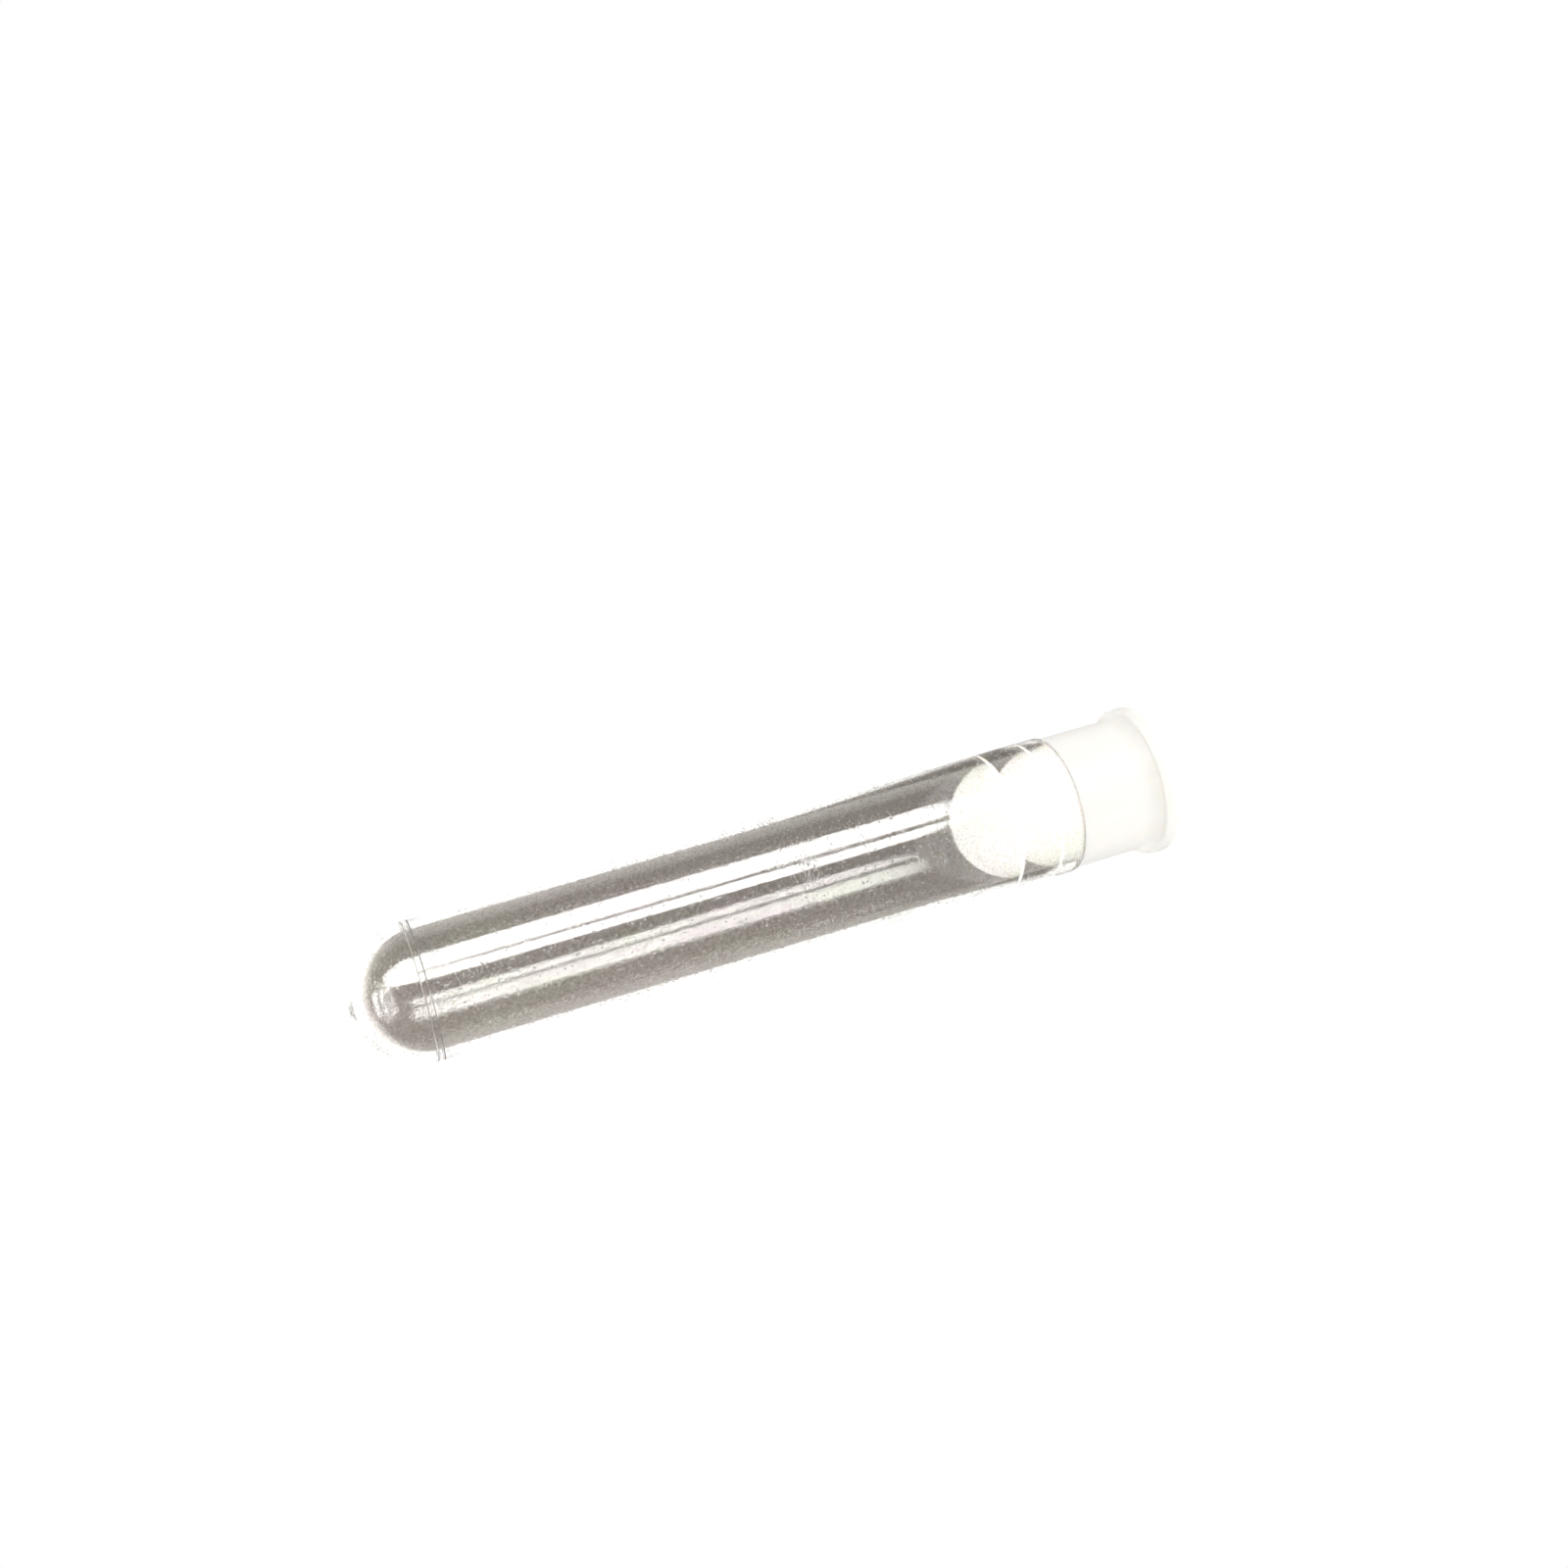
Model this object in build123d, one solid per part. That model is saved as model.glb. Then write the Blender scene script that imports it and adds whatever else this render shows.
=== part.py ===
"""Round-bottom test tube, moulded in clear polystyrene, with a push-in polyethylene stopper.

Millimetres. The tube stands upright: +Z runs along its axis, from the round bottom to the
stopper, and the origin is the lowest point of the bottom, on the axis.
Two solids: the tube, one moulded shell, and the stopper, which pulls straight off along +Z.
"""

import os
from math import sqrt

from build123d import *

# Tube
TUBE_LENGTH = 61.0  # lowest point of the bottom to the mouth
MOUTH_DIAMETER = 11.8  # outside, at the mouth
BOTTOM_DIAMETER = 11.36  # outside, where the round bottom begins
TUBE_WALL = 0.85  # side wall
FLOOR_WALL = 1.0  # at the lowest point of the bottom
LIP_ROUND = 0.28  # both edges of the mouth
LAND_MARGIN = 0.6  # straight, undrafted wall past the stopper's nose

# Marks that the mould leaves on the tube
PARTING_WIDTH = 0.6  # shallow groove round the start of the bottom
PARTING_DEPTH = 0.06
GATE_PAD_RADIUS = 0.9  # flat where the gate was
GATE_NUB_RADIUS = 0.4  # trimmed stub that stands on that flat

# Fits
SEAL_CLEARANCE = 0.02  # radial, from each seal ring to the bore, uncompressed
GUIDE_CLEARANCE = 0.12  # radial, from the collar above the rings to the bore

# Stopper plug, in the bore, with depths measured down from the mouth
UPPER_SEAL_DEPTH = 2.2
LOWER_SEAL_DEPTH = 5.9
NOSE_HEIGHT = 3.5  # rounded nose, below the lower seal
SEAL_LAND = 0.25  # straight crown of each seal ring
SEAL_ROUND = 0.2  # edge of each crown
NECK_DEPTH = 1.5  # from a ring's crown in to the neck between the rings
NECK_LENGTH = 0.9  # straight part of the neck
BACK_RISE = 0.4  # slope of the face behind the lower seal
CHEEK_RADIUS = 5.0  # bulge from the neck out to the upper seal
GROOVE_DEPTH = 0.45  # V groove behind the upper seal
GROOVE_WIDTH = 0.9

# Stopper head, above the mouth
BARREL_INSET = 0.18  # radial, from the tube's outside in to the barrel
BARREL_HEIGHT = 5.6  # straight part
FLARE_HEIGHT = 1.6
FLARE_WIDTH = 0.48
FLANGE_STEP = 0.25  # from the top of the flare out to the rim
FLANGE_THICKNESS = 1.6
RIM_LOWER_ROUND = 0.2
RIM_UPPER_ROUND = 0.6

# Well that hollows the stopper out from its top
BARREL_WALL = 1.15
NECK_WALL = 1.15
NOSE_WALL = 1.6
WELL_DRAFT = 0.15  # radial, from the top of the well to its throat
WELL_THROAT_HEIGHT = 1.0  # where the well begins to narrow, above the mouth
WELL_LIP_ROUND = 0.25

# Worked out from the sizes above
mouth_radius = MOUTH_DIAMETER / 2
bottom_radius = BOTTOM_DIAMETER / 2
bore_radius = mouth_radius - TUBE_WALL
bore_end_radius = bottom_radius - TUBE_WALL
nose_depth = LOWER_SEAL_DEPTH + NOSE_HEIGHT
mouth_land = nose_depth + LAND_MARGIN

seal_radius = bore_radius - SEAL_CLEARANCE
guide_radius = bore_radius - GUIDE_CLEARANCE
neck_radius = seal_radius - NECK_DEPTH
barrel_radius = mouth_radius - BARREL_INSET
flare_radius = barrel_radius + FLARE_WIDTH
flange_radius = flare_radius + FLANGE_STEP
flange_under = BARREL_HEIGHT + FLARE_HEIGHT
flange_top = flange_under + FLANGE_THICKNESS


def round_corner(centre, radius, start_angle):
    """A quarter turn of outline, anticlockwise from start_angle."""
    return CenterArc(centre, radius, start_angle, 90)


def turned(outline):
    """The solid that a closed half outline makes, turned about the Z axis."""
    edges = [edge for line in outline for edge in line.edges()]
    half_section = Plane.XZ * make_face(edges)
    return revolve(half_section, axis=Axis.Z).solid()


def tube():
    """One shell: gate mark, hemisphere, drafted wall, straight land and rounded mouth."""
    pad_height = bottom_radius - sqrt(bottom_radius**2 - GATE_PAD_RADIUS**2)
    half_width = PARTING_WIDTH / 2
    groove_low = (sqrt(bottom_radius**2 - half_width**2), bottom_radius - half_width)
    groove_deep = (bottom_radius - PARTING_DEPTH, bottom_radius)
    groove_high = (bottom_radius, bottom_radius + half_width)
    land_start = TUBE_LENGTH - mouth_land
    lip_height = TUBE_LENGTH - LIP_ROUND
    outer_lip = (mouth_radius - LIP_ROUND, lip_height)
    inner_lip = (bore_radius + LIP_ROUND, lip_height)
    bore_end = (bore_end_radius, FLOOR_WALL + bore_end_radius)

    gate = Polyline(
        (0, 0), (GATE_NUB_RADIUS, 0), (GATE_NUB_RADIUS, pad_height), (GATE_PAD_RADIUS, pad_height)
    )
    bottom = RadiusArc(gate @ 1, groove_low, -bottom_radius)
    parting = ThreePointArc(groove_low, groove_deep, groove_high)
    wall = Polyline(groove_high, (mouth_radius, land_start), (mouth_radius, lip_height))
    outer_round = round_corner(outer_lip, LIP_ROUND, 0)
    rim = Line(outer_round @ 1, (inner_lip[0], TUBE_LENGTH))
    inner_round = round_corner(inner_lip, LIP_ROUND, 90)
    bore = Polyline(inner_round @ 1, (bore_radius, land_start), bore_end)
    inner_bottom = CenterArc((0, bore_end[1]), bore_end_radius, 0, -90)
    axis = Line((0, FLOOR_WALL), (0, 0))
    return turned(
        [gate, bottom, parting, wall, outer_round, rim, inner_round, bore, inner_bottom, axis]
    )


def plug_outline():
    """Outside of the plug, from the tip of the nose up to the shoulder on the mouth."""
    lower_crown = -LOWER_SEAL_DEPTH + SEAL_LAND
    back = lower_crown + SEAL_ROUND
    neck_start = back + BACK_RISE
    neck_end = neck_start + NECK_LENGTH
    upper_crown = -UPPER_SEAL_DEPTH + SEAL_LAND
    groove_edge = upper_crown + SEAL_ROUND
    groove_floor = (seal_radius - GROOVE_DEPTH, groove_edge + GROOVE_WIDTH / 2)

    nose_bend = (seal_radius**2 + NOSE_HEIGHT**2) / (2 * NOSE_HEIGHT)
    nose = RadiusArc((0, -nose_depth), (seal_radius, -LOWER_SEAL_DEPTH), -nose_bend)
    lower_seal = Line(nose @ 1, (seal_radius, lower_crown))
    lower_round = round_corner((seal_radius - SEAL_ROUND, lower_crown), SEAL_ROUND, 0)
    neck = Polyline(lower_round @ 1, (neck_radius, neck_start), (neck_radius, neck_end))
    cheek = RadiusArc(neck @ 1, (seal_radius, -UPPER_SEAL_DEPTH), -CHEEK_RADIUS)
    upper_seal = Line(cheek @ 1, (seal_radius, upper_crown))
    upper_round = round_corner((seal_radius - SEAL_ROUND, upper_crown), SEAL_ROUND, 0)
    groove = Polyline(
        upper_round @ 1,
        groove_floor,
        (guide_radius, groove_edge + GROOVE_WIDTH),
        (guide_radius, 0),
        (barrel_radius, 0),
    )
    return [nose, lower_seal, lower_round, neck, cheek, upper_seal, upper_round, groove]


def head_outline(well_radius):
    """Outside of the barrel, flare and flange, and the top face in to the well."""
    flare_bend = (FLARE_HEIGHT**2 + FLARE_WIDTH**2) / (2 * FLARE_WIDTH)
    rim_low = flange_under + RIM_LOWER_ROUND
    rim_high = flange_top - RIM_UPPER_ROUND
    lower_centre = (flange_radius - RIM_LOWER_ROUND, rim_low)
    upper_centre = (flange_radius - RIM_UPPER_ROUND, rim_high)

    barrel = Line((barrel_radius, 0), (barrel_radius, BARREL_HEIGHT))
    flare = RadiusArc(barrel @ 1, (flare_radius, flange_under), flare_bend)
    under = Line(flare @ 1, (flange_radius - RIM_LOWER_ROUND, flange_under))
    lower_round = round_corner(lower_centre, RIM_LOWER_ROUND, -90)
    rim = Line((flange_radius, rim_low), (flange_radius, rim_high))
    upper_round = round_corner(upper_centre, RIM_UPPER_ROUND, 0)
    top = Line(upper_round @ 1, (well_radius + WELL_LIP_ROUND, flange_top))
    return [barrel, flare, under, lower_round, rim, upper_round, top]


def well_outline(well_radius):
    """Inside of the well, from its mouth down to its round floor."""
    throat_radius = well_radius - WELL_DRAFT
    end_radius = neck_radius - NECK_WALL
    taper_end = -LOWER_SEAL_DEPTH + SEAL_LAND + SEAL_ROUND + BACK_RISE + NECK_LENGTH
    floor = NOSE_WALL - nose_depth
    lip_centre = (well_radius + WELL_LIP_ROUND, flange_top - WELL_LIP_ROUND)

    lip = round_corner(lip_centre, WELL_LIP_ROUND, 90)
    side = Polyline(
        lip @ 1,
        (throat_radius, WELL_THROAT_HEIGHT),
        (end_radius, taper_end),
        (end_radius, floor + end_radius),
    )
    end = CenterArc((0, floor + end_radius), end_radius, 0, -90)
    axis = Line((0, floor), (0, -nose_depth))
    return [lip, side, end, axis]


def stopper():
    """Hollow plug with two seal rings, a barrel that seats on the mouth, and a flange."""
    well_radius = barrel_radius - BARREL_WALL
    outline = plug_outline() + head_outline(well_radius) + well_outline(well_radius)
    return Pos(0, 0, TUBE_LENGTH) * turned(outline)


os.makedirs("parts", exist_ok=True)
for name, part in {"tube": tube(), "stopper": stopper()}.items():
    export_step(part, f"parts/{name}.step")
    print(name, "volume", round(part.volume, 1), "mm3", part.bounding_box())
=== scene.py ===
from math import asin, atan2, cos, pi, radians, sin, sqrt, tan, tau

import bpy
from mathutils import Matrix, Vector


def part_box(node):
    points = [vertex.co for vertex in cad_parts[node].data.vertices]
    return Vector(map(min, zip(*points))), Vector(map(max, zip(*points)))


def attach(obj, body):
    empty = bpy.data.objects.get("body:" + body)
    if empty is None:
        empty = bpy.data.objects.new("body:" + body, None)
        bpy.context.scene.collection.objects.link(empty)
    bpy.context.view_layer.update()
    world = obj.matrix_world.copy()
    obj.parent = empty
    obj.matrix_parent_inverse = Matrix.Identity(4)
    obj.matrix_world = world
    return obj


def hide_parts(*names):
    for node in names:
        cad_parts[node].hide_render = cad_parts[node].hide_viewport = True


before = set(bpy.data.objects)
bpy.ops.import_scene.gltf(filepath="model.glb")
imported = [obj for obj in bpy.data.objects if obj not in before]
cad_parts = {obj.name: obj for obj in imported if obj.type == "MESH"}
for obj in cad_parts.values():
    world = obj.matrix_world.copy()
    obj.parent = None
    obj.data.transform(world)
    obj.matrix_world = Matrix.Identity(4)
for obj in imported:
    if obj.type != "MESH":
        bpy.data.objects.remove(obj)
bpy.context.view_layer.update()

# ---- Tube ------------------------------------------------------------------------------------
# One shot of clear polystyrene: round bottom, slightly drafted wall, straight land, rounded mouth.
# The mould leaves a shallow ring where its bottom insert begins, and a trimmed gate stub on the pole.

MM = 0.001
TURN_STEPS = 256  # flats round each turned piece, smooth-shaded
SHARP_ANGLE = radians(28)  # edges that turn more than this stay crisp

tube_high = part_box("tube")[1]
tube_length = tube_high.z
mouth_radius = tube_high.x
bottom_radius = 5.68 * MM
tube_wall = 0.85 * MM
floor_wall = 1.0 * MM
lip_round = 0.28 * MM
land_length = 10.0 * MM
ring_width, ring_depth = 0.6 * MM, 0.06 * MM
ring_foot, ring_flank = 0.04, 0.16  # shares of the ring's width where a flank starts and ends
gate_pad, gate_nub = 0.9 * MM, 0.4 * MM
bore_radius = mouth_radius - tube_wall
bore_end_radius = bottom_radius - tube_wall


def arc(centre, radius, start, end, step=radians(6)):
    """Points of an outline's arc, from one angle to another."""
    count = max(2, round(abs(end - start) / step))
    angles = [start + (end - start) * i / count for i in range(count + 1)]
    return [(centre[0] + radius * cos(a), centre[1] + radius * sin(a)) for a in angles]


def run(start, end, step=3 * MM):
    """Points of an outline's straight stretch, without its two ends."""
    count = max(1, round(sqrt((end[0] - start[0]) ** 2 + (end[1] - start[1]) ** 2) / step))
    return [
        (start[0] + (end[0] - start[0]) * i / count, start[1] + (end[1] - start[1]) * i / count)
        for i in range(1, count)
    ]


def tube_outline():
    """Half section of the tube, from the gate stub up the outside and back down the bore."""
    fine = radians(2)
    pad_angle = -pi / 2 + asin(gate_pad / bottom_radius)
    ring_angle = -asin(ring_width / 2 / bottom_radius)
    pad_height = bottom_radius + bottom_radius * sin(pad_angle)
    points = [(0, 0), (gate_nub, 0), (gate_nub, pad_height)]
    points += arc((0, bottom_radius), bottom_radius, pad_angle, ring_angle, fine)
    ring_start = bottom_radius - ring_width / 2
    flank = [(ring_foot / 2, 0.03), (ring_foot, 0.1), (ring_flank - 0.03, 0.9), (ring_flank, 1)]
    groove = flank + [(0.5, 0.95)] + [(1 - share, dip) for share, dip in flank[::-1]] + [(1, 0)]
    for share, dip in groove:
        points.append((bottom_radius - ring_depth * dip, ring_start + ring_width * share))
    land_start = (mouth_radius, tube_length - land_length)
    points += run(points[-1], land_start) + [land_start]
    lip = tube_length - lip_round
    points += run(land_start, (mouth_radius, lip))
    points += arc((mouth_radius - lip_round, lip), lip_round, 0, pi / 2, radians(9))
    points += arc((bore_radius + lip_round, lip), lip_round, pi / 2, pi, radians(9))
    points += run(points[-1], (bore_radius, land_start[1])) + [(bore_radius, land_start[1])]
    bore_end = (bore_end_radius, floor_wall + bore_end_radius)
    points += run(points[-1], bore_end)
    points += arc((0, bore_end[1]), bore_end_radius, 0, -pi / 2, fine)
    return points


class Wire:
    """A node's output socket. Arithmetic on it adds Math nodes to the same tree."""

    def __init__(self, tree, socket):
        self.tree, self.socket = tree, socket

    def output(self, name):
        return Wire(self.tree, self.socket.node.outputs[name])

    def math(self, operation, other=0.0, first=None):
        values = {0: self if first is None else first, 1: other if first is None else self}
        return node(self.tree, "ShaderNodeMath", {"operation": operation}, values)

    def __add__(self, other):
        return self.math("ADD", other)

    def __sub__(self, other):
        return self.math("SUBTRACT", other)

    def __mul__(self, other):
        return self.math("MULTIPLY", other)

    def __truediv__(self, other):
        return self.math("DIVIDE", other)

    def __rsub__(self, other):
        return self.math("SUBTRACT", first=other)

    __radd__, __rmul__ = __add__, __mul__


def node(tree, kind, settings=None, values=None, output=0):
    """Adds a node, sets it up, fills or links its inputs, and returns one of its outputs."""
    made = tree.nodes.new(kind)
    for name, value in (settings or {}).items():
        setattr(made, name, value)
    for key, value in (values or {}).items():
        if isinstance(value, Wire):
            tree.links.new(value.socket, made.inputs[key])
        else:
            made.inputs[key].default_value = value
    return None if output is None else Wire(tree, made.outputs[output])


def lathe_tree():
    """Geometry Nodes that turn an outline about Z: a grid whose rows are copies of the outline."""
    tree = bpy.data.node_groups.new("lathe", "GeometryNodeTree")
    tree.interface.new_socket("Outline", in_out="INPUT", socket_type="NodeSocketGeometry")
    steps = tree.interface.new_socket("Steps", in_out="INPUT", socket_type="NodeSocketInt")
    finish = tree.interface.new_socket("Finish", in_out="INPUT", socket_type="NodeSocketMaterial")
    tree.interface.new_socket("Piece", in_out="OUTPUT", socket_type="NodeSocketGeometry")
    entry = tree.nodes.new("NodeGroupInput")
    outline, around, material = [Wire(tree, entry.outputs[i]) for i in range(3)]
    length = node(
        tree, "GeometryNodeAttributeDomainSize", {"component": "MESH"}, {"Geometry": outline}
    )
    sheet = node(
        tree, "GeometryNodeMeshGrid", None, {"Vertices X": around + 1, "Vertices Y": length}
    )
    index = node(tree, "GeometryNodeInputIndex")
    column = index.math("MODULO", length)
    turn = (index / length).math("FLOOR") / around * tau
    place = node(
        tree,
        "GeometryNodeSampleIndex",
        {"data_type": "FLOAT_VECTOR", "domain": "POINT"},
        {"Geometry": outline, "Value": node(tree, "GeometryNodeInputPosition"), "Index": column},
    )
    about_z = {"rotation_type": "Z_AXIS"}
    turned = node(tree, "ShaderNodeVectorRotate", about_z, {"Vector": place, "Angle": turn})
    shaped = node(tree, "GeometryNodeSetPosition", None, {"Geometry": sheet, "Position": turned})
    closed = node(
        tree, "GeometryNodeMergeByDistance", None, {"Geometry": shaped, "Distance": 1e-7}
    )
    real = node(tree, "GeometryNodeRealizeInstances", None, {"Geometry": closed})
    done = node(
        tree, "GeometryNodeSetMaterial", None, {"Geometry": real, "Material": material}
    )
    leave = tree.nodes.new("NodeGroupOutput")
    tree.links.new(done.socket, leave.inputs[0])
    return tree, steps.identifier, finish.identifier


lathe, lathe_steps, lathe_finish = lathe_tree()


def turned_piece(name, outline, material):
    """A closed piece turned from an outline of (radius, height) points, as a plain smooth mesh."""
    line = bpy.data.meshes.new(name + "_outline")
    links = [(i, i + 1) for i in range(len(outline) - 1)]
    line.from_pydata([(r, 0, z) for r, z in outline], links, [])
    holder = bpy.data.objects.new(name + "_outline", line)
    bpy.context.scene.collection.objects.link(holder)
    modifier = holder.modifiers.new("lathe", "NODES")
    modifier.node_group = lathe
    modifier[lathe_steps] = TURN_STEPS
    modifier[lathe_finish] = material
    shown = holder.evaluated_get(bpy.context.evaluated_depsgraph_get())
    mesh = bpy.data.meshes.new_from_object(shown)
    bpy.data.objects.remove(holder)
    bpy.data.meshes.remove(line)
    mesh.polygons.foreach_set("use_smooth", [True] * len(mesh.polygons))
    mesh.set_sharp_from_angle(angle=SHARP_ANGLE)
    piece = bpy.data.objects.new(name, mesh)
    bpy.context.scene.collection.objects.link(piece)
    return piece


def new_material(name):
    """An empty node material, its Principled shader and its tree."""
    material = bpy.data.materials.new(name)
    material.use_nodes = True
    return material, material.node_tree, material.node_tree.nodes["Principled BSDF"]


def noise(place, scale, detail=2.0, stretch=(1, 1, 1)):
    """Soft random shade from 0 to 1, with about this many lumps to the metre. Stretch multiplies
    their number along each axis."""
    spread = [scale * s for s in stretch]
    tree = place.tree
    place = node(tree, "ShaderNodeVectorMath", {"operation": "MULTIPLY"}, {0: place, 1: spread})
    return node(tree, "ShaderNodeTexNoise", None, {"Vector": place, "Scale": 1.0, "Detail": detail})


def step_up(value, low, high):
    """0 where the value is below the low bound, 1 above the high one, and a smooth slope between."""
    settings = {"interpolation_type": "SMOOTHSTEP"}
    return node(value.tree, "ShaderNodeMapRange", settings, {"Value": value, 1: low, 2: high})


def blend(share, first, second):
    """A colour between two others."""
    values = {0: share, 6: first, 7: second}
    return node(share.tree, "ShaderNodeMix", {"data_type": "RGBA"}, values, 2)


def relief(height, depth, under=None):
    """Surface relief of this depth in metres, laid over another relief."""
    values = {"Height": height, "Distance": depth, "Strength": 1.0}
    if under:
        values["Normal"] = under
    return node(height.tree, "ShaderNodeBump", None, values)


def clear_polystyrene():
    """Glossy clear plastic. Outside, handling has left a fine haze, dust and short scratches round
    the tube. Flow in the mould left a slow ripple along it and faint strain colours. The flanks of
    the parting ring and the lip are slightly frosted, and the foot is the most worn."""
    polish = 0.035  # roughness of the bare moulded surface
    frost = {  # roughness that each mark adds to it
        "grain": 0.05,
        "worn": 0.06,
        "foot": 0.16,
        "scratch": 0.2,
        "dust": 0.22,
        "seam": 0.3,
        "lip": 0.6,
    }
    pink, green = (0.985, 0.955, 0.97, 1), (0.965, 0.985, 0.945, 1)  # strain colours
    smoky = (0.73, 0.715, 0.695, 1)  # where the fine haze is densest
    ripple_depth, grain_depth, mark_depth = 0.0006 * MM, 0.0038 * MM, 0.006 * MM
    foot_top, foot_end = 5 * MM, 0.6 * MM  # wear sets in at the first height, full at the second
    lip_start, lip_end = tube_length - 0.4 * MM, tube_length - 0.1 * MM
    seam_reach, seam_core = 0.08 * MM, 0.04 * MM  # each side of a flank's middle
    material, tree, shader = new_material("clear_polystyrene")
    shader.inputs["Transmission Weight"].default_value = 1.0
    shader.inputs["IOR"].default_value = 1.59
    spot = node(tree, "ShaderNodeTexCoord", None, None, "Object")
    across = node(tree, "ShaderNodeSeparateXYZ", None, {0: spot})
    back, height = across.output("Y"), across.output("Z")
    below = (height - bottom_radius).math("MINIMUM", 0.0)
    from_spine = node(tree, "ShaderNodeCombineXYZ", None, {0: across, 1: back, 2: below})
    depth = node(tree, "ShaderNodeVectorMath", {"operation": "LENGTH"}, {0: from_spine}, "Value")
    mid_wall = (bore_radius + mouth_radius) / 2 - 0.1 * MM
    outside = depth.math("GREATER_THAN", mid_wall)
    girth = across.math("ARCTAN2", 0.0 - back) * mouth_radius
    unrolled = node(tree, "ShaderNodeCombineXYZ", None, {0: girth, 1: height})

    grain = noise(spot, 4600.0, 2.0)
    ripple = noise(unrolled, 900.0, 1.0, (1, 0.12, 1))
    worn = step_up(noise(spot, 260.0, 3.0), 0.42, 0.68)
    strokes = noise(unrolled, 1000.0, 0.0, (1.6, 11, 1))
    patches = noise(spot, 420.0, 1.0)
    scratches = step_up(strokes * patches, 0.43, 0.5) * outside
    dust = step_up(noise(spot, 3800.0, 0.0), 0.71, 0.78) * outside
    foot = step_up(height, foot_top, foot_end)
    lip = step_up(height, lip_start, lip_end)
    flank_middle = ring_width * (0.5 - (ring_foot + ring_flank) / 2)
    off_flank = ((height - bottom_radius).math("ABSOLUTE") - flank_middle).math("ABSOLUTE")
    seam = step_up(off_flank, seam_reach, seam_core) * outside
    wear = worn * frost["worn"] + scratches * frost["scratch"] + dust * frost["dust"]
    wear = (wear + foot * grain * frost["foot"]) * outside
    haze = wear + grain * frost["grain"] + lip * frost["lip"] + seam * frost["seam"] + polish
    tree.links.new(haze.socket, shader.inputs["Roughness"])

    strain = step_up(noise(unrolled, 240.0, 2.0, (1, 0.3, 1)), 0.35, 0.65)
    mottle = step_up(grain, 0.44, 0.62) * outside
    tint = blend(mottle, blend(strain, pink, green), smoky)
    tree.links.new(tint.socket, shader.inputs["Base Color"])

    surface = relief(ripple, ripple_depth)
    surface = relief(grain * (foot * 1.5 + 1.0) * outside, grain_depth, surface)
    surface = relief(scratches + dust, mark_depth, surface)
    tree.links.new(surface.socket, shader.inputs["Normal"])
    return material


tube = turned_piece("clear_tube", tube_outline(), clear_polystyrene())
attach(tube, "tube")
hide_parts("tube")

# ---- Stopper ---------------------------------------------------------------------------------
# One shot of milky low-density polyethylene: rounded nose, two seal rings squeezed into the bore,
# a barrel that seats on the mouth, and a flange to push on. A well hollows it out from the top.

stopper_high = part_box("stopper")[1]
squeeze = 0.006 * MM  # how far a pressed ring's crown lies past the bore, so that it wets the wall
seal_radius = bore_radius + squeeze
guide_radius = bore_radius - 0.12 * MM
neck_radius = bore_radius - 1.52 * MM
nose_depth, lower_seal, upper_seal = 9.4 * MM, 5.9 * MM, 2.2 * MM  # below the mouth
seal_land, seal_round = 0.25 * MM, 0.2 * MM
back_rise, neck_length = 0.4 * MM, 0.9 * MM
cheek_bend = 5 * MM
groove_depth, groove_width = 0.45 * MM, 0.9 * MM
barrel_radius = mouth_radius - 0.18 * MM
flare_height, flare_width = 1.6 * MM, 0.48 * MM
flare_radius = barrel_radius + flare_width
flange_radius = stopper_high.x
flange_under, flange_top = 7.2 * MM, stopper_high.z - tube_length  # above the mouth
rim_lower_round, rim_upper_round = 0.2 * MM, 0.6 * MM
well_wall, well_floor, well_lip = 1.15 * MM, 1.6 * MM, 0.25 * MM
well_draft, well_throat = 0.15 * MM, 1.0 * MM


def bend(start, end, radius, step=radians(3)):
    """Points of an arc of a given radius between two points, bulging to the right of the way."""
    (x0, y0), (x1, y1) = start, end
    chord = sqrt((x1 - x0) ** 2 + (y1 - y0) ** 2)
    rise = sqrt(radius**2 - chord**2 / 4)
    across = ((y1 - y0) / chord, -(x1 - x0) / chord)
    centre = ((x0 + x1) / 2 - across[0] * rise, (y0 + y1) / 2 - across[1] * rise)
    half = asin(chord / 2 / radius)
    middle = atan2(across[1], across[0])
    return arc(centre, radius, middle - half, middle + half, step)


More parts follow.
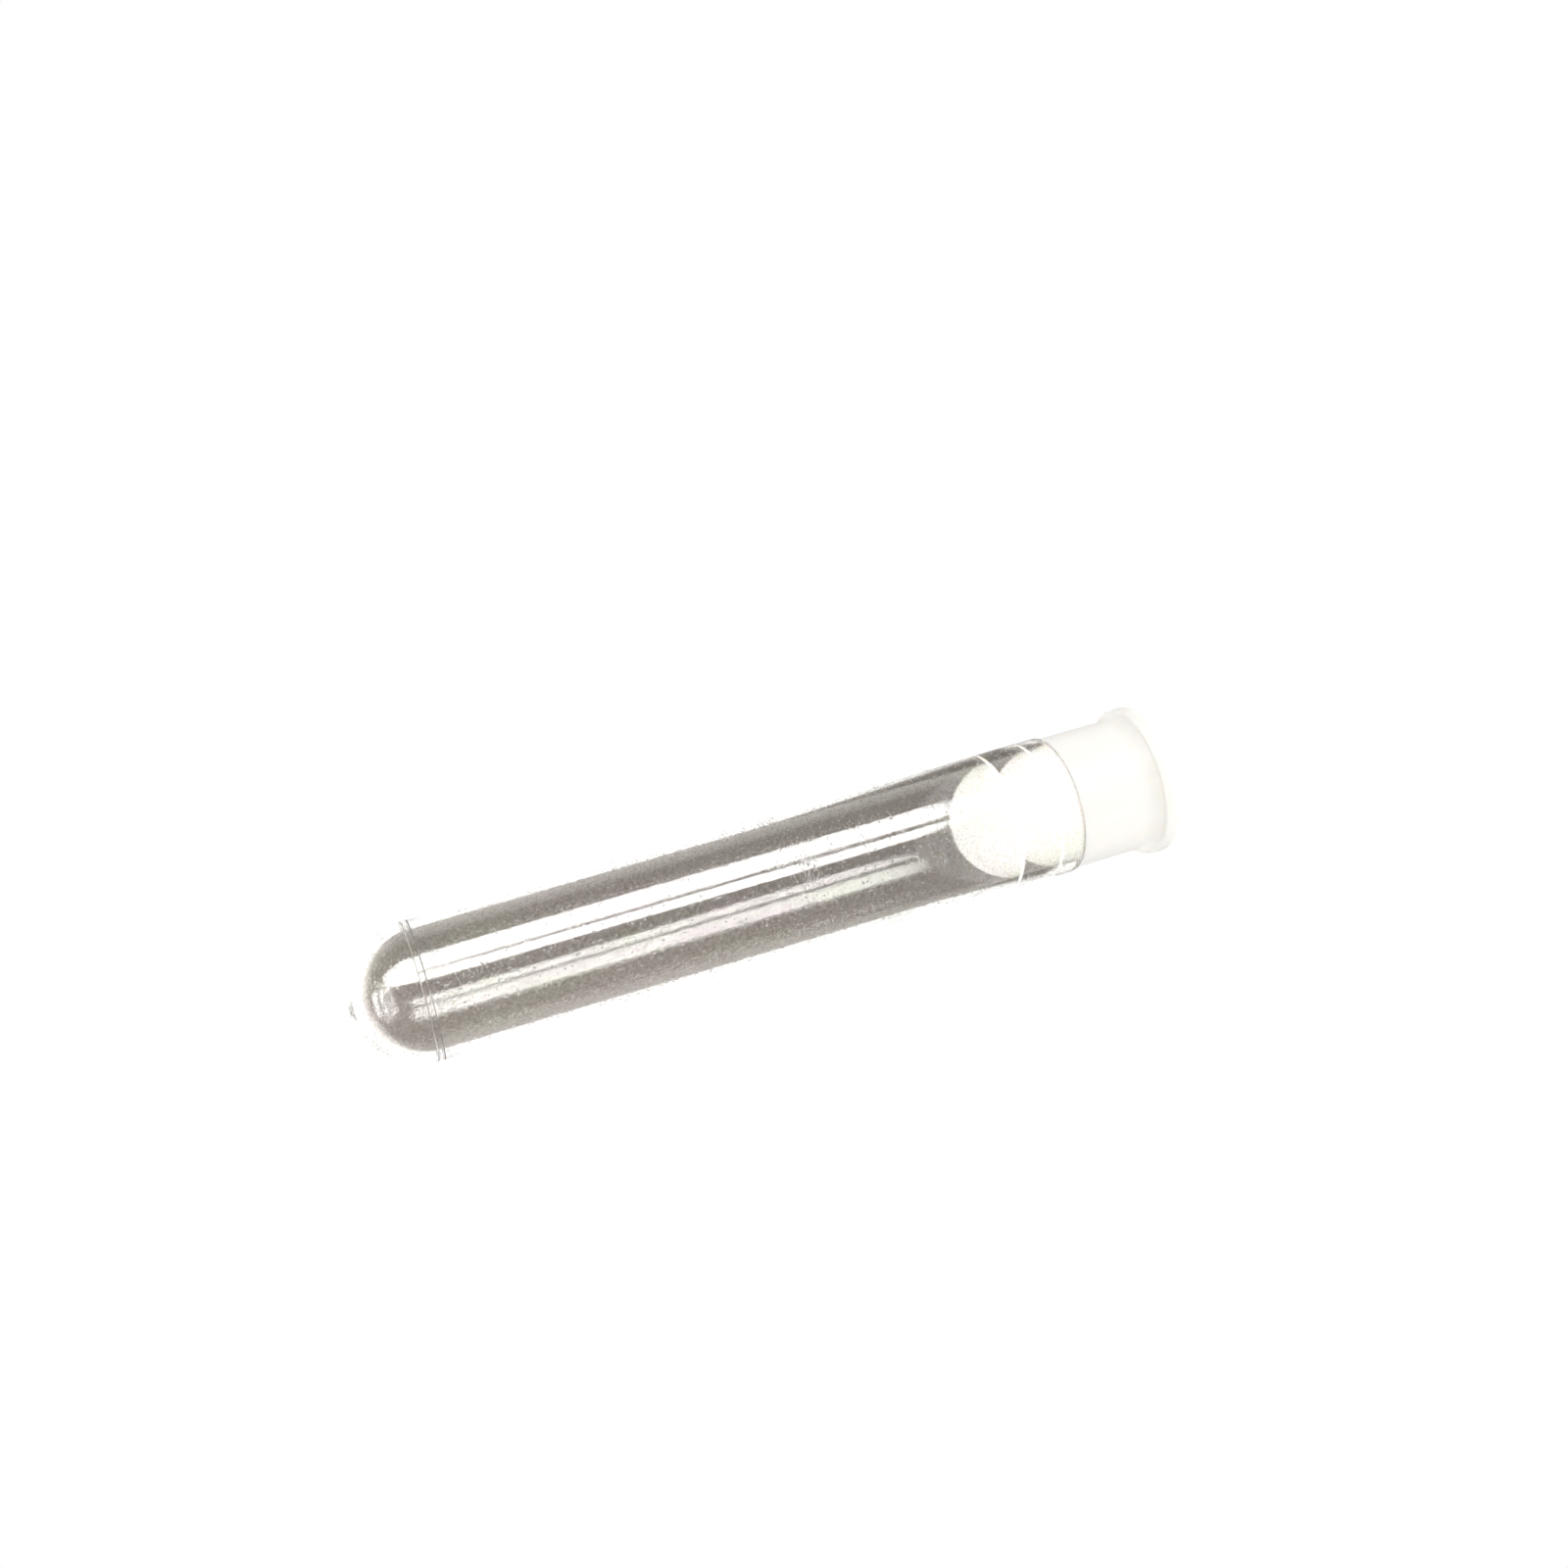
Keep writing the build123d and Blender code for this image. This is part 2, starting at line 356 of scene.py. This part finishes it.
def stopper_outline():
    """Half section of the stopper, from the tip of the nose up the outside and down the well."""
    crown = -lower_seal + seal_land
    neck_start = crown + seal_round + back_rise
    neck_end = neck_start + neck_length
    upper_crown = -upper_seal + seal_land
    groove_edge = upper_crown + seal_round
    nose_height = nose_depth - lower_seal
    nose_bend = (seal_radius**2 + nose_height**2) / (2 * nose_height)
    points = bend((0, -nose_depth), (seal_radius, -lower_seal), nose_bend)
    points += arc((seal_radius - seal_round, crown), seal_round, 0, pi / 2, radians(15))
    points += [(neck_radius, neck_start), (neck_radius, neck_end)]
    points += bend((neck_radius, neck_end), (seal_radius, -upper_seal), cheek_bend)[1:]
    points += arc((seal_radius - seal_round, upper_crown), seal_round, 0, pi / 2, radians(15))
    points += [
        (seal_radius - groove_depth, groove_edge + groove_width / 2),
        (guide_radius, groove_edge + groove_width),
        (guide_radius, 0),
        (barrel_radius, 0),
    ]
    flare_bend = (flare_height**2 + flare_width**2) / (2 * flare_width)
    flare_foot = (barrel_radius, flange_under - flare_height)
    points += bend((flare_radius, flange_under), flare_foot, flare_bend)[::-1]
    low, high = rim_lower_round, rim_upper_round
    points += arc((flange_radius - low, flange_under + low), low, -pi / 2, 0, radians(10))
    points += arc((flange_radius - high, flange_top - high), high, 0, pi / 2, radians(6))
    well = barrel_radius - well_wall
    points += arc((well + well_lip, flange_top - well_lip), well_lip, pi / 2, pi, radians(15))
    end_radius = neck_radius - well_wall
    points += [(well - well_draft, well_throat), (end_radius, neck_end)]
    points += arc((0, well_floor - nose_depth + end_radius), end_radius, 0, -pi / 2, radians(5))
    return [(r, z + tube_length) for r, z in points]


def milky_polyethylene():
    """Soft satin plastic that lets light in: milky white, with a fine spark-eroded mould grain, slow
    flow marks and patches that handling has rubbed smoother."""
    milk, cream = (0.95, 0.945, 0.925, 1), (0.93, 0.92, 0.89, 1)
    satin = 0.4  # roughness
    flow_depth, grain_depth = 0.012 * MM, 0.003 * MM
    material, tree, shader = new_material("milky_polyethylene")
    shader.inputs["IOR"].default_value = 1.51
    shader.inputs["Subsurface Weight"].default_value = 0.4
    shader.inputs["Subsurface Radius"].default_value = (1.0, 0.85, 0.6)
    shader.inputs["Subsurface Scale"].default_value = 1.2 * MM
    spot = node(tree, "ShaderNodeTexCoord", None, None, "Object")
    grain = noise(spot, 5200.0, 2.0)
    flow = noise(spot, 330.0, 2.0, (1, 1, 0.35))
    rubbed = step_up(noise(spot, 900.0, 3.0), 0.5, 0.72)
    cloud = step_up(flow, 0.35, 0.7)
    tint = blend(cloud, milk, cream)
    tree.links.new(tint.socket, shader.inputs["Base Color"])
    sheen = rubbed * -0.08 + cloud * 0.05 + satin
    tree.links.new(sheen.socket, shader.inputs["Roughness"])
    surface = relief(flow, flow_depth)
    surface = relief(grain, grain_depth, surface)
    tree.links.new(surface.socket, shader.inputs["Normal"])
    return material


stopper = turned_piece("push_in_stopper", stopper_outline(), milky_polyethylene())
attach(stopper, "stopper")
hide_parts("stopper")

# ---- Floor, light and camera -----------------------------------------------------------------
# A pale matt floor under the round bottom, seen from above only, and a white backdrop. Softboxes
# round the tube draw the bright bands in its wall, and a dim warm room shows between them.

floor_reach = 1.5
floor_mesh = bpy.data.meshes.new("floor")
corners = [(x * floor_reach, y * floor_reach, 0) for x, y in ((-1, -1), (1, -1), (1, 1), (-1, 1))]
floor_mesh.from_pydata(corners, [], [(0, 1, 2, 3)])
floor = bpy.data.objects.new("floor", floor_mesh)
bpy.context.scene.collection.objects.link(floor)
floor_paint, tree, shader = new_material("floor_paint")
shader.inputs["Base Color"].default_value = (0.6, 0.6, 0.595, 1)
shader.inputs["Roughness"].default_value = 0.8
shader.inputs["Specular IOR Level"].default_value = 0.0
below = node(tree, "ShaderNodeNewGeometry", None, None, "Backfacing")
paint = Wire(tree, shader.outputs[0])
clear = node(tree, "ShaderNodeBsdfTransparent")
cover = node(tree, "ShaderNodeMixShader", None, {0: below, 1: paint, 2: clear})
tree.links.new(cover.socket, tree.nodes["Material Output"].inputs[0])
floor_mesh.materials.append(floor_paint)
floor.visible_transmission = False
floor.visible_glossy = False

world = bpy.data.worlds.new("studio")
bpy.context.scene.world = world
world.use_nodes = True
tree = world.node_tree
tree.nodes.clear()
towards = node(tree, "ShaderNodeTexCoord")
height = node(tree, "ShaderNodeSeparateXYZ", None, {0: towards}, "Z")


def facing(way):
    """How squarely the light's direction meets another one, from -1 to 1."""
    values = {0: towards, 1: way}
    return node(tree, "ShaderNodeVectorMath", {"operation": "DOT_PRODUCT"}, values, "Value")


# What the clear wall shows: a dim warm room, lighter overhead, below and in one patch behind.
patch_way = Vector((sin(radians(20)), cos(radians(20)), 0.17)).normalized()
patch_edge = cos(radians(16))
patch = ((facing(patch_way) - patch_edge) / (1 - patch_edge)).math("MAXIMUM", 0.0)
ends = step_up(height, 0.4, 0.75) + step_up(height, -0.2, -0.5)
gloom = 0.3 - height.math("ABSOLUTE").math("MINIMUM", 0.4) * 0.28 + patch * 0.1 + ends * 0.4
room = node(tree, "ShaderNodeBackground", None, {"Color": (1, 0.9, 0.8, 1), "Strength": gloom})

# What lights matt surfaces: a bright room, brighter in front, that isn't dimmed by a clear wall.
seen = node(tree, "ShaderNodeLightPath", None, None, "Is Camera Ray")
bounced = seen.output("Diffuse Depth").math("MINIMUM", 1.0)
passed = seen.output("Transmission Depth").math("MINIMUM", 1.0)
plenty = (facing((-0.2, -0.9, 0.3)) * 0.3 + 1.3) * (passed * 0.95 + 1.0)
fill = node(tree, "ShaderNodeBackground", None, {"Color": (1, 0.99, 0.97, 1), "Strength": plenty})

backdrop = node(tree, "ShaderNodeBackground", None, {"Color": (1, 1, 1, 1), "Strength": 1.0})
lit = node(tree, "ShaderNodeMixShader", None, {0: bounced, 1: room, 2: fill})
both = node(tree, "ShaderNodeMixShader", None, {0: seen, 1: lit, 2: backdrop})
node(tree, "ShaderNodeOutputWorld", None, {"Surface": both}, None)


def softbox(name, place, target, size, radiance, lean=0.0, through=0.3):
    """A rectangular studio lamp aimed at a point. It shows at full strength in gloss and in light
    turned inside a clear wall, and dimly straight through one. It lights nothing matt."""
    lamp = bpy.data.lights.new(name, "AREA")
    lamp.shape = "RECTANGLE"
    lamp.size, lamp.size_y = size
    lamp.energy = radiance * pi * lamp.size * lamp.size_y
    lamp.use_nodes = True
    tree = lamp.node_tree
    mirrored = node(tree, "ShaderNodeLightPath", None, None, "Glossy Depth").math("MINIMUM", 1.0)
    veil = through / radiance
    glow = node(tree, "ShaderNodeEmission", None, {"Strength": mirrored * (1 - veil) + veil})
    tree.links.new(glow.socket, tree.nodes["Light Output"].inputs[0])
    holder = bpy.data.objects.new(name, lamp)
    turn = (Vector(place) - Vector(target)).to_track_quat("Z", "Y").to_matrix().to_4x4()
    holder.matrix_world = Matrix.Translation(place) @ turn @ Matrix.Rotation(radians(lean), 4, "Z")
    bpy.context.scene.collection.objects.link(holder)
    holder.visible_camera = False
    holder.visible_diffuse = False


def upright_softbox(name, first, last, distance, low, high, radiance, lean=0.0, through=0.3):
    """A softbox standing beside the tube, from one azimuth to another. Azimuth 0 is in front,
    on -Y, and it grows towards -X."""
    azimuth, height = radians(first + last) / 2, (low + high) / 2
    width = 2 * distance * tan(radians(abs(last - first)) / 2)
    place = (-distance * sin(azimuth), -distance * cos(azimuth), height)
    softbox(name, place, (0, 0, height), (width, high - low), radiance, lean, through)


upright_softbox("near_panel", 21, 34.5, 0.3, -0.38, 0.155, 14, lean=-9)
upright_softbox("far_panel", 34.5, 60, 0.3, -0.38, 0.155, 14)
upright_softbox("back_card", 134, 238, 0.2, -0.45, 0.14, 1.3, lean=-4, through=0.06)
softbox("foot_lamp", (0, -0.06, -0.36), (0, 0, 0), (0.2, 0.05), 16)
softbox("top_lamp", (0, -0.08, 0.42), (0, 0, 0.06), (0.4, 0.24), 12)

camera_data = bpy.data.cameras.new("camera")
camera_data.lens = 43.1
camera_data.sensor_width = 36
camera_data.clip_start, camera_data.clip_end = 0.001, 10
camera = bpy.data.objects.new("camera", camera_data)
pitch, roll = radians(15.31), radians(74.37)
place = Vector((-7.92, -149.63, -2.57)) * MM
aim = Matrix.Rotation(pi / 2 + pitch, 4, "X") @ Matrix.Rotation(roll, 4, "Z")
camera.matrix_world = Matrix.Translation(place) @ aim
bpy.context.scene.collection.objects.link(camera)
bpy.context.scene.camera = camera
bpy.context.scene.view_settings.view_transform = "Standard"
